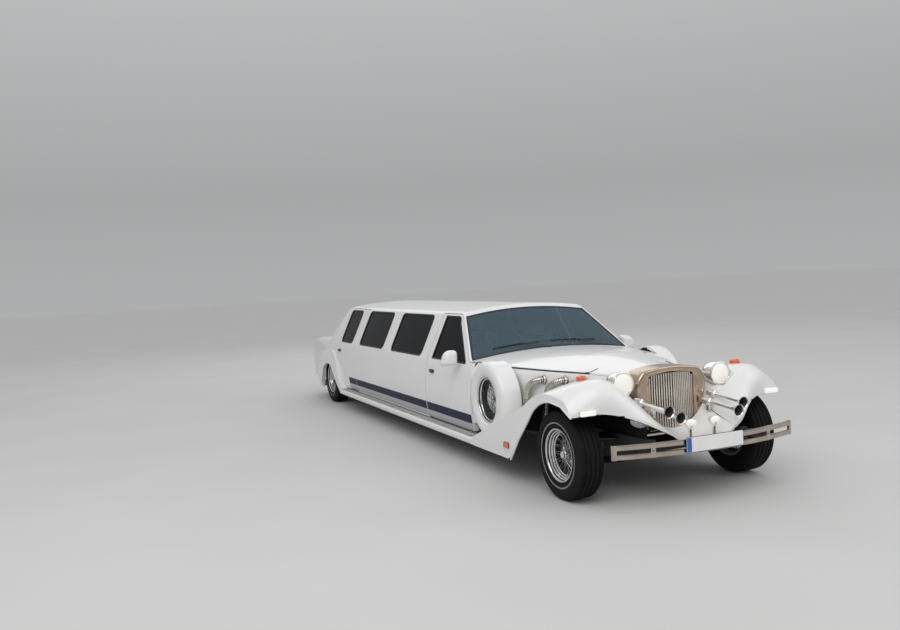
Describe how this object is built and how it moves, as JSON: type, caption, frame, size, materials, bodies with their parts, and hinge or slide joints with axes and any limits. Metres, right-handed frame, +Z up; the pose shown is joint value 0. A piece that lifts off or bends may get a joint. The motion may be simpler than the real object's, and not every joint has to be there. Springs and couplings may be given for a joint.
{
  "type": "stretch limousine",
  "caption": "Neo-classic stretch limousine with sweeping wings, upright radiator, side-mounted spare wheels, opening doors, bonnet and boot, and steering wire wheels.",
  "frame": {"origin": "on the floor under the middle of the car's bounding box", "axes": "+X forward, +Y to the car's left, +Z up"},
  "size_m": [9, 2.224, 1.4749],
  "materials": {
    "white_paint": "gloss white coachwork paint",
    "dark_chassis": "black chassis paint",
    "bright_metal": "polished bright plating",
    "wire_wheel": "bright plated wire wheel",
    "tyre": "black rubber with a thin pale ring",
    "dark_glass": "heavily tinted glass",
    "clear_glass": "lightly tinted windscreen glass",
    "lamp_glass": "clear fluted lamp glass",
    "amber_lamp": "amber lamp plastic",
    "red_lamp": "red lamp plastic",
    "floor_finish": "dark sealed floor",
    "seat_leather": "black seat leather",
    "cabin_trim": "dark cabin trim",
    "engine_metal": "painted iron",
    "exhaust_steel": "dull steel"
  },
  "bodies": {
    "car_body": {"roof": "white_paint", "side_panels": "white_paint", "scuttle": "white_paint", "bonnet_sides": "white_paint", "rear_body": "white_paint", "front_wings": "white_paint", "rear_wings": "white_paint", "running_boards": "white_paint", "spare_covers": "white_paint", "spare_wheels": "wire_wheel", "radiator": "bright_metal", "headlamps": "bright_metal", "headlamp_lenses": "lamp_glass", "small_lamps": "amber_lamp", "tail_lamps": "red_lamp", "horns": "bright_metal", "side_pipes": "bright_metal", "front_bumper": "bright_metal", "rear_bumper": "bright_metal", "windscreen": "clear_glass", "lounge_windows": "dark_glass", "chassis_frame": "dark_chassis", "front_frame": "dark_chassis", "rear_frame": "dark_chassis", "floor_pan": "floor_finish", "wheel_houses": "dark_chassis", "rear_axle": "dark_chassis", "front_suspension": "dark_chassis", "propeller_shaft": "exhaust_steel", "engine": "engine_metal", "exhaust": "exhaust_steel", "front_seats": "seat_leather", "lounge_seats": "seat_leather", "cabin_fittings": "cabin_trim"},
    "front_door_left": {"door_front_left": "white_paint", "door_glass_front_left": "dark_glass", "mirror_left": "white_paint"},
    "rear_door_left": {"door_rear_left": "white_paint", "door_glass_rear_left": "dark_glass"},
    "front_door_right": {"door_front_right": "white_paint", "door_glass_front_right": "dark_glass", "mirror_right": "white_paint"},
    "rear_door_right": {"door_rear_right": "white_paint", "door_glass_rear_right": "dark_glass"},
    "bonnet": {"bonnet_lid": "white_paint"},
    "boot": {"boot_lid": "white_paint"},
    "knuckle_left": {"knuckle_left": "dark_chassis"},
    "knuckle_right": {"knuckle_right": "dark_chassis"},
    "wheel_front_left": {"tyre_front_left": "tyre", "wire_wheel_front_left": "wire_wheel"},
    "wheel_rear_left": {"tyre_rear_left": "tyre", "wire_wheel_rear_left": "wire_wheel"},
    "wheel_front_right": {"tyre_front_right": "tyre", "wire_wheel_front_right": "wire_wheel"},
    "wheel_rear_right": {"tyre_rear_right": "tyre", "wire_wheel_rear_right": "wire_wheel"}
  },
  "joints": [
    {"name": "front_door_left_hinge", "type": "hinge", "parent": "car_body", "child": "front_door_left", "pos_m": [2.143, 0.965, 0.6], "axis": [0, 0, -1], "range_deg": [0, 65]},
    {"name": "rear_door_left_hinge", "type": "hinge", "parent": "car_body", "child": "rear_door_left", "pos_m": [-1.707, 0.965, 0.6], "axis": [0, 0, -1], "range_deg": [0, 65]},
    {"name": "front_door_right_hinge", "type": "hinge", "parent": "car_body", "child": "front_door_right", "pos_m": [2.143, -0.965, 0.6], "axis": [0, 0, 1], "range_deg": [0, 65]},
    {"name": "rear_door_right_hinge", "type": "hinge", "parent": "car_body", "child": "rear_door_right", "pos_m": [-1.707, -0.965, 0.6], "axis": [0, 0, 1], "range_deg": [0, 65]},
    {"name": "bonnet_hinge", "type": "hinge", "parent": "car_body", "child": "bonnet", "pos_m": [2.15, 0, 1.052], "axis": [0, -1, 0], "range_deg": [0, 50]},
    {"name": "boot_hinge", "type": "hinge", "parent": "car_body", "child": "boot", "pos_m": [-3.3, 0, 0.981], "axis": [0, 1, 0], "range_deg": [0, 70]},
    {"name": "steer_left", "type": "hinge", "parent": "car_body", "child": "knuckle_left", "pos_m": [3.74, 0.7, 0.356], "axis": [0, 0, 1], "range_deg": [-33, 33]},
    {"name": "steer_right", "type": "hinge", "parent": "car_body", "child": "knuckle_right", "pos_m": [3.74, -0.7, 0.356], "axis": [0, 0, 1], "range_deg": [-33, 33]},
    {"name": "wheel_front_left_spin", "type": "hinge", "parent": "knuckle_left", "child": "wheel_front_left", "pos_m": [3.74, 0.828, 0.356], "axis": [0, 1, 0], "continuous": true},
    {"name": "wheel_rear_left_spin", "type": "hinge", "parent": "car_body", "child": "wheel_rear_left", "pos_m": [-3.12, 0.828, 0.356], "axis": [0, 1, 0], "continuous": true},
    {"name": "wheel_front_right_spin", "type": "hinge", "parent": "knuckle_right", "child": "wheel_front_right", "pos_m": [3.74, -0.828, 0.356], "axis": [0, 1, 0], "continuous": true},
    {"name": "wheel_rear_right_spin", "type": "hinge", "parent": "car_body", "child": "wheel_rear_right", "pos_m": [-3.12, -0.828, 0.356], "axis": [0, 1, 0], "continuous": true}
  ],
  "couplings": [
    {"joint": "steer_right", "follows": "steer_left", "ratio": 1}
  ]
}
